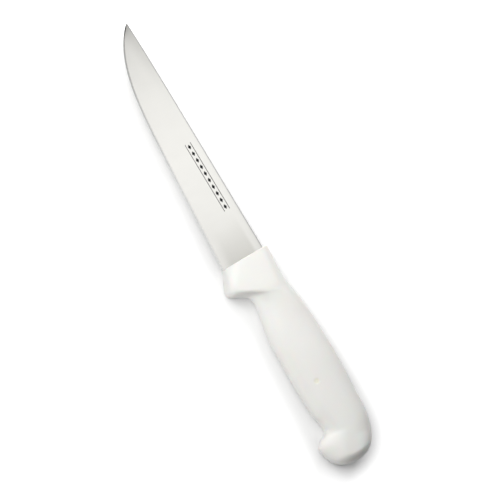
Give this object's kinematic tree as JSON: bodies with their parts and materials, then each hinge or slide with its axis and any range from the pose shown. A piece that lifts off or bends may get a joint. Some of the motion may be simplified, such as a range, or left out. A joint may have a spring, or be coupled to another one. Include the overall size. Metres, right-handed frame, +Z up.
{
  "type": "butcher knife",
  "caption": "Butcher knife with a straight-backed blade that sweeps up to a sharp tip, and a moulded white handle with a finger guard and a beaked pommel.",
  "frame": {"origin": "middle of the knife's box as it lies on its side, on the surface that it lies on", "axes": "+X from pommel to tip along the spine, +Y from the spine to the cutting edge, +Z up, across the handle's thickness"},
  "size_m": [0.2844, 0.0376, 0.022],
  "materials": {
    "blade_steel": "stainless steel, taper ground and fine satin, with a brighter honed edge bevel",
    "handle_plastic": "white injection moulded polypropylene with a fine satin surface"
  },
  "bodies": {
    "root": {"blade": "blade_steel", "handle": "handle_plastic"}
  },
  "joints": []
}
